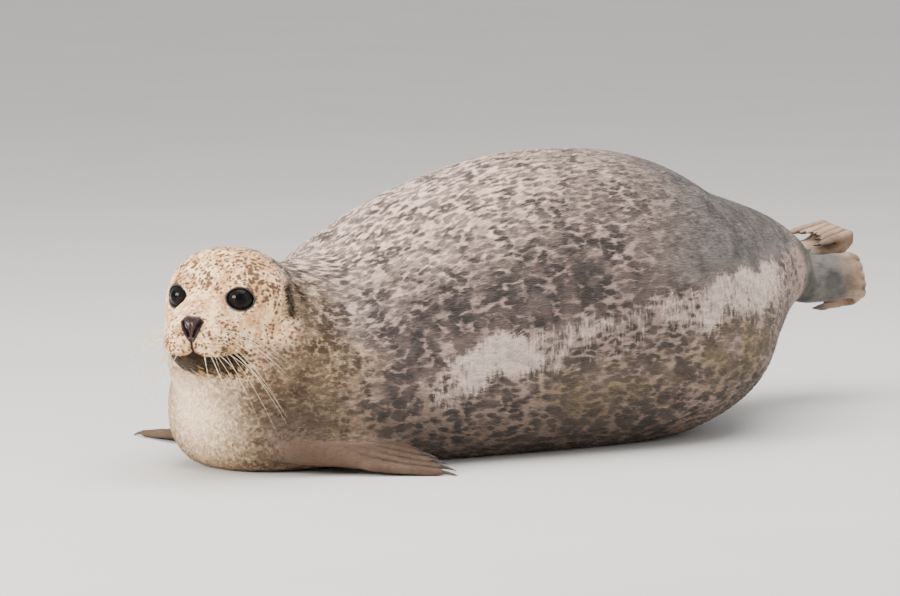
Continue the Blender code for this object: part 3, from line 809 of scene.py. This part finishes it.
# The bare, wet nose pad and lids, with painted shade in the nostril slits; and the hair's gloss and
# relief
nose_skin = toned(g, grain(g, spot_at, 300.0), 0.35, 0.7, NOSE_LEATHER)
nose_edge = rising(g, stirred(g, nose, grain(g, spot_at, 420.0), 0.9), 0.25, 0.75)
colour = tinted(g, times(g, nose_edge, rising(g, nose, 0.0, 0.15)), colour, nose_skin)
colour = tinted(g, bare, colour, LID_BLACK_AND_SLIT_SHADE)
wet = greater(g, bare, times(g, nose, 0.2))
rough = plus(g, mixed(g, wet, rising(g, clumps, 0.3, 0.7, 0.22), -0.25), 0.42)
height = plus(g, times(g, hair, 0.55), times(g, clumps, 0.9))
pores = times(g, grain(g, spot_at, 1400.0), 0.35)
height = mixed(g, greater(g, wet, limb_mask), height, pores)
add(g, "NodeGroupOutput", {"Colour": colour, "Roughness": rough, "Height": height, "Wet": wet})


def new_finish(name):
    """A material, its node tree and its shader."""
    made = bpy.data.materials.new(name)
    made.use_nodes = True
    return made, made.node_tree, made.node_tree.nodes["Principled BSDF"]


def hide_finish(name, bump, distance):
    made, tree, shader = new_finish(name)
    coat = add(tree, "ShaderNodeGroup", node_tree=coat_group).outputs
    relief = add(tree, "ShaderNodeBump",
                 {"Height": coat["Height"], "Strength": bump, "Distance": distance})
    feed(tree, shader, {"Base Color": coat["Colour"], "Roughness": coat["Roughness"],
                        "Normal": relief.outputs["Normal"], "Coat Weight": coat["Wet"],
                        "Coat Roughness": 0.08, "Specular IOR Level": 0.12})
    return made


hide = hide_finish("damp_hide", 0.75, 0.0012)
skin.data.materials.clear()
skin.data.materials.append(hide)
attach(skin, "root")
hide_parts(*FLESH)

# ---- Eyes ----------------------------------------------------------------------------------
# Large dark globes with a slightly bulging cornea, wide black pupil and very dark brown iris,
# wet and glossy. Each sits in its lids, turned out as a seal's eyes are.

CORNEA_BULGE, CORNEA_EDGE = 0.0011, 0.7
PUPIL_BLACK = (0.0015, 0.0015, 0.002, 1)
IRIS_BROWN = (0.005, 0.004, 0.004, 1), (0.014, 0.0105, 0.009, 1)
WHITE_OF_EYE = (0.006, 0.005, 0.005, 1)  # next to black too, in a seal

eye_finish, tree, shader = new_finish("wet_eye")
from_axis = add(tree, "ShaderNodeAttribute", attribute_name="from_axis").outputs["Fac"]
fibres = grain(tree, object_place(tree), 900.0, 3.0)
iris = toned(tree, fibres, 0.3, 0.7, IRIS_BROWN)
shown = tinted(tree, rising(tree, from_axis, 0.34, 0.40), PUPIL_BLACK, iris)
shown = tinted(tree, rising(tree, from_axis, 0.72, 0.80), shown, WHITE_OF_EYE)
gloss = plus(tree, rising(tree, from_axis, 0.2, 0.9, 0.05), 0.03)
feed(tree, shader, {"Base Color": shown, "Roughness": gloss, "Specular IOR Level": 0.09})
for node, (ball, look, outward, upward) in gaze.items():
    bm = bmesh.new()
    bmesh.ops.create_uvsphere(bm, u_segments=64, v_segments=40, radius=EYE_RADIUS * MM)
    axes = Matrix((outward, upward, look)).transposed()
    off_axis = []
    for vert in bm.verts:
        share = Vector((vert.co.x, vert.co.y)).length / (EYE_RADIUS * MM)
        off_axis.append(share if vert.co.z > 0 else 1.0)
        if vert.co.z > 0:
            vert.co.z += CORNEA_BULGE * max(1 - (share / CORNEA_EDGE) ** 2, 0.0)
    bmesh.ops.transform(bm, matrix=Matrix.Translation(ball) @ axes.to_4x4(), verts=bm.verts)
    bmesh.ops.recalc_face_normals(bm, faces=bm.faces)
    globe = piece(node.replace("eye", "eyeball"), bm)
    layer = globe.data.attributes.new("from_axis", "FLOAT", "POINT")
    layer.data.foreach_set("value", np.array(off_axis, np.float32))
    globe.data.materials.append(eye_finish)
    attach(globe, "root")
    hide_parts(node)

# ---- Whiskers ------------------------------------------------------------------------------
# Stiff pale hairs in five rows on each side of the upper lip, and a few over each eye. Wet,
# they droop outwards and down. Each is a tapering hair rooted under the hide.

WHISKER_RADIUS = 0.00036
WHISKER_ROWS, WHISKER_COLUMNS, BROW_HAIRS = 5, 6, 4
LONGEST, BROW_LENGTH, ROOT_DEPTH = 86, 22, 0.0015
STRAW = (0.52, 0.38, 0.22, 1), (0.80, 0.68, 0.50, 1)
skin_tree = BVHTree.FromObject(skin, bpy.context.evaluated_depsgraph_get())
chance = np.random.default_rng(11)


def hairs(name, paths, radius, sides):
    """Tapering hairs, one along each path, as one mesh."""
    curve = bpy.data.curves.new(name, "CURVE")
    curve.dimensions = "3D"
    curve.bevel_depth = radius
    curve.bevel_resolution = sides
    curve.use_fill_caps = True
    for path in paths:
        spline = curve.splines.new("POLY")
        spline.points.add(len(path) - 1)
        for i, point in enumerate(path):
            spline.points[i].co = (*point, 1)
            spline.points[i].radius = 1 - 0.86 * (i / (len(path) - 1)) ** 1.3
    holder = object_of(name, curve)
    mesh = bpy.data.meshes.new_from_object(holder)
    bpy.data.objects.remove(holder)
    mesh.shade_smooth()
    return object_of(name, mesh)


def at_head(ahead, left, up):
    return brow_point + MM * (ahead * to_front + left * to_left + up * Vector((0, 0, 1)))


def whisker_path(root, way, droop, length):
    """A straight start that bends ever more towards droop."""
    path = []
    for t in np.linspace(0, 1, 9):
        path.append(root + MM * length * (way * t + droop * (0.55 * t**2)))
    path[0] = root - way * ROOT_DEPTH
    return path


paths = []
for sign in (1, -1):
    for row in range(WHISKER_ROWS):
        for column in range(WHISKER_COLUMNS):
            across_pad = 19 + 5.0 * column + chance.uniform(-0.8, 0.8)
            height = -41 - WHISKER_ROW * row - 0.5 * column + chance.uniform(-0.8, 0.8)
            guess = at_head(58 - 0.022 * across_pad**2, sign * across_pad, height)
            root_at, normal, _, _ = skin_tree.find_nearest(guess)
            length = (34 + 11 * column) * chance.uniform(0.75, 1.1) * (0.8 + 0.08 * row)
            way = normal * 0.75 + sign * to_left * (0.35 + 0.10 * column) - to_front * 0.09 * column
            way = (way + Vector((0, 0, -0.35 - 0.04 * row))).normalized()
            droop = Vector((0, 0, -0.8)) - 0.25 * to_front
            paths.append(whisker_path(root_at, way, droop, min(length, LONGEST)))
    for column in range(BROW_HAIRS):
        guess = at_head(6, sign * (24 + 5 * column), 25 + 2 * column)
        root_at, normal, _, _ = skin_tree.find_nearest(guess)
        way = (normal + Vector((0, 0, 0.7)) + sign * to_left * 0.3).normalized()
        droop = Vector((0, 0, -0.3)) - 0.6 * to_front
        paths.append(whisker_path(root_at, way, droop, BROW_LENGTH))
whiskers = hairs("whiskers", paths, WHISKER_RADIUS, 1)
straw, tree, shader = new_finish("whisker_straw")
shades = grain(tree, object_place(tree), 160.0)
gloss = plus(tree, rising(tree, shades, 0.3, 0.7, 0.15), 0.28)
feed(tree, shader, {"Base Color": toned(tree, shades, 0.35, 0.65, STRAW), "Roughness": gloss})
whiskers.data.materials.append(straw)
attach(whiskers, "root")

# ---- Claws ---------------------------------------------------------------------------------
# Dark horn. The fore claws are the solid model's own; the small hind claws grow from the ends
# of the hind digits.

HORN = (0.018, 0.014, 0.012, 1), (0.10, 0.075, 0.055, 1)
HIND_CLAW_RADIUS = 0.0026
WORN = 0.7  # the share of their length that the hind claws keep

horn, tree, shader = new_finish("dark_horn")
streaks = grain(tree, stretched(tree, object_place(tree), (1.0, 0.3, 1.0)), 700.0, 3.0)
gloss = plus(tree, rising(tree, streaks, 0.3, 0.7, 0.2), 0.25)
relief = add(tree, "ShaderNodeBump", {"Height": streaks, "Strength": 0.4, "Distance": 0.0003})
feed(tree, shader, {"Base Color": toned(tree, streaks, 0.3, 0.75, HORN), "Roughness": gloss,
                    "Normal": relief.outputs["Normal"]})
for node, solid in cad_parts.items():
    if "_claw_" in node:
        solid.data.materials.clear()
        solid.data.materials.append(horn)
for node, rows in HIND_CLAWS.items():
    claws = []
    for row in rows:
        base, middle, tip = (Vector(point) * MM for point in row)
        middle, tip = base.lerp(middle, WORN), base.lerp(tip, WORN)
        claws.append([base + (base - middle) * 0.3, base, base.lerp(middle, 0.5), middle,
                      middle.lerp(tip, 0.5), tip])
    claw_set = hairs(node.replace("flipper", "claws"), claws, HIND_CLAW_RADIUS, 3)
    claw_set.data.materials.append(horn)
    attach(claw_set, "root")

# ---- Coat ----------------------------------------------------------------------------------
# Short damp hair stands off the hide in small flat tufts that overlap backwards: finest on the
# face and flippers, longest on the trunk, and lifted in wet clumps along the sheen band.

TUFT_SETS = (  # name, tufts, length and width in millimetres, lift
    ("coat_head", 26000, 4.6, 0.62, 0.55),
    ("coat_neck", 24000, 8.0, 0.95, 1.2),
    ("coat_flank_left", 31000, 10.5, 1.25, 1.8),
    ("coat_flank_right", 31000, 10.5, 1.25, 1.8),
    ("coat_hindquarters", 22000, 9.5, 1.15, 1.7),
    ("coat_flippers", 16000, 4.2, 0.6, 0.45),
)
TUFT_PATCH = 0.003  # a tuft's share of the skin's unwrap
HAIR_SCATTER = 0.13
nose_tip = np.array(at_head(66, 5, -32))

# The hide's triangles, with the room for hair on each, and the tuft set that each belongs to
mesh = skin.data
mesh.calc_loop_triangles()
corner = read(mesh.loop_triangles, "vertices", 3, np.int32)
loop = read(mesh.loop_triangles, "loops", 3, np.int32)
corner_uv = read(mesh.uv_layers["OFBake"].data, "uv", 2)[loop]
triangle = places[corner]
crossed = np.cross(triangle[:, 1] - triangle[:, 0], triangle[:, 2] - triangle[:, 0])
area = np.linalg.norm(crossed, axis=1) / 2
centre = triangle.mean(axis=1)
on_head = face[corner].mean(axis=1) > 0.35
on_limb = limb[corner].mean(axis=1) > 0.5
uncovered = np.maximum(lid_ring, skin_masks["coat_c"][:, 3])[corner].max(axis=1)
belly = (centre[:, 2] < 0.004) & (crossed[:, 2] < 0)
shown_area = area * (uncovered < 0.2) * ~belly
on_neck = ~on_head & ~on_limb & (centre[:, 1] < -0.36)
on_rear = ~on_limb & (centre[:, 1] > 0.25)
on_trunk = ~(on_head | on_limb | on_neck | on_rear)
spine = np.interp(centre[:, 1], (-0.4, 0.0, 0.27), (0.03, 0.03, 0.0))
regions = {
    "coat_head": on_head & ~on_limb,
    "coat_neck": on_neck,
    "coat_flank_left": on_trunk & (centre[:, 0] > spine),
    "coat_flank_right": on_trunk & (centre[:, 0] <= spine),
    "coat_hindquarters": on_rear,
    "coat_flippers": on_limb,
}


def lie_of_hair(points, normals, limb):
    """The way the hair lies: back from the nose, along the body, down the digits."""
    head = ramp(head_place(points)[0], -110, -40)
    back = np.outer(1 - head, (-0.05, 1.0, 0.0)) + np.outer(head, -np.array(to_front))
    back[:, 2] -= 0.22 * ramp(-normals[:, 2], -0.7, 0.2) * (1 - head)
    away = points - nose_tip
    away /= np.linalg.norm(away, axis=1)[:, None] + 1e-9
    near = bell(np.linalg.norm(points - nose_tip, axis=1), 0.075)
    lie = back * (1 - near)[:, None] + away * near[:, None]
    level = np.interp(points[:, 1], BAND_ALONG, BAND_LEVEL)
    lifted = bell(points[:, 2] - level, 0.035) * ramp(points[:, 1], -0.30, -0.2)
    lifted *= 1 - ramp(points[:, 1], 0.36, 0.44)
    lie[:, 2] += 1.1 * lifted
    digits, _ = along_digits(points)
    share = ramp(limb, 0.3, 0.8)[:, None]
    return lie * (1 - share) + digits * share


bm = bmesh.new()
for point in ((0, 0, -0.12), (0.38, -0.5, 0.25), (0.38, 0.5, 0.25), (0.42, 0, 0.62), (1, 0, 1)):
    bm.verts.new(point)
bmesh.ops.convex_hull(bm, input=bm.verts)
bmesh.ops.recalc_face_normals(bm, faces=bm.faces)
one_tuft = verts_of(bm)
bm.verts.index_update()
one_faces = np.array([[v.index for v in f.verts] for f in bm.faces])
bm.free()

hair_finish = hide_finish("damp_hair", 0.35, 0.0005)
for name, count, length, width, lift in TUFT_SETS:
    chosen = np.nonzero(regions[name])[0]
    share = shown_area[chosen] / shown_area[chosen].sum()
    picked = chosen[chance.choice(len(chosen), count, p=share)]
    first, second = chance.random((2, count))
    flip = first + second > 1
    first[flip], second[flip] = 1 - first[flip], 1 - second[flip]
    mix = np.stack((1 - first - second, first, second), axis=1)
    at, up_at, uv_at, limb_at, web_at = (
        np.einsum("nc,nc...->n...", mix, values[picked])
        for values in (triangle, skin_normals[corner], corner_uv, limb[corner], web[corner]))
    up_at /= np.linalg.norm(up_at, axis=1)[:, None]
    lie = lie_of_hair(at, up_at, limb_at) + chance.normal(0, HAIR_SCATTER, (count, 3))
    lie -= up_at * np.einsum("nd,nd->n", lie, up_at)[:, None]
    lie /= np.linalg.norm(lie, axis=1)[:, None] + 1e-9
    over = np.cross(up_at, lie)
    small = 1 - 0.6 * ramp(at[:, 1], 0.44, 0.53)  # shorter towards the hind flippers
    if name == "coat_head":
        small *= 0.45 + 0.55 * ramp(np.linalg.norm(at - nose_tip, axis=1), 0.02, 0.10)
    long = MM * length * chance.uniform(0.7, 1.3, count) * small
    wide = MM * width * chance.uniform(0.75, 1.3, count) * small
    high = MM * lift * chance.uniform(0.5, 1.15, count) * small
    axes = np.stack((lie * long[:, None], over * wide[:, None], up_at * high[:, None]), axis=1)
    rows = at[:, None] + np.einsum("vk,nkd->nvd", one_tuft, axes)
    rows[:, :, 2] = np.maximum(rows[:, :, 2], 0.0002)
    faces = one_faces[None] + len(one_tuft) * np.arange(count)[:, None, None]
    tufts = bpy.data.meshes.new(name)
    tufts.from_pydata(rows.reshape(-1, 3), [], faces.reshape(-1, 3))
    tufts.update()
    roots = np.repeat(at, len(one_tuft), axis=0)
    limb_at, web_at, tint = (np.repeat(values, len(one_tuft))
                             for values in (limb_at, web_at, chance.uniform(0.25, 0.9, count)))
    wear_masks(tufts, masks_at(roots, limb_at, np.zeros(len(roots)), web_at, tint))
    tuft_uv = uv_at[:, None] + TUFT_PATCH * (one_tuft[:, :2] - (0.5, 0.0))[None]
    layer = tufts.uv_layers.new(name="OFBake")
    tuft_uv = tuft_uv.reshape(-1, 2)[faces.reshape(-1)].astype(np.float32)
    layer.data.foreach_set("uv", tuft_uv.ravel())
    coat = object_of(name, tufts)
    coat.data.materials.append(hair_finish)
    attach(coat, "root")

# ---- Floor, light and camera ---------------------------------------------------------------
# A plain pale floor, and three soft lights: a broad one overhead, one low in front and a weak
# one at the side. The camera faces the seal's left shoulder, from a little above.

FLOOR_REACH = 60
FLOOR_GREY = (0.60, 0.58, 0.55, 1), (0.66, 0.64, 0.61, 1)

bm = bmesh.new()
bmesh.ops.create_grid(bm, x_segments=8, y_segments=8, size=FLOOR_REACH)
floor = piece("floor", bm)
plain, tree, shader = new_finish("pale_floor")
mottle = grain(tree, object_place(tree), 3.0)
feed(tree, shader, {"Base Color": tinted(tree, mottle, *FLOOR_GREY), "Roughness": 0.7})
floor.data.materials.append(plain)

VIEW_FROM = math.radians(52), math.radians(6)
VIEW_DISTANCE, VIEW_WIDTH, SENSOR = 10.0, 1.2375, 36
view_middle = Vector((-0.0538, -0.0709, 0.1877))


def soft_light(name, place, size, power, tone):
    lamp = bpy.data.lights.new(name, "AREA")
    lamp.shape = "RECTANGLE"
    lamp.size, lamp.size_y = size
    lamp.energy = power
    lamp.color = tone
    made = object_of(name, lamp)
    made.location = place
    made.rotation_euler = (view_middle - made.location).to_track_quat("-Z", "Y").to_euler()


soft_light("overhead", Vector((0.2, 0.1, 3.2)), (3.4, 3.4), 215, (1.0, 0.98, 0.96))
soft_light("front", Vector((-0.1, -3.4, 1.15)), (1.5, 1.0), 190, (1.0, 0.97, 0.93))
soft_light("side", Vector((3.4, 0.3, 1.2)), (3.4, 2.4), 30, (0.95, 0.97, 1.0))
world = bpy.data.worlds.new("studio")
world.use_nodes = True
sky = world.node_tree.nodes["Background"]
feed(world.node_tree, sky, {"Color": (0.93, 0.94, 0.95, 1), "Strength": 0.95})
bpy.context.scene.world = world
turn, rise = VIEW_FROM
towards = Vector((math.sin(turn) * math.cos(rise), -math.cos(turn) * math.cos(rise),
                  math.sin(rise)))
camera = object_of("camera", bpy.data.cameras.new("camera"))
camera.location = view_middle + VIEW_DISTANCE * towards
camera.rotation_euler = (-towards).to_track_quat("-Z", "Y").to_euler()
camera.data.sensor_width = SENSOR
camera.data.lens = SENSOR * VIEW_DISTANCE / VIEW_WIDTH
camera.data.clip_end = 200
bpy.context.scene.camera = camera
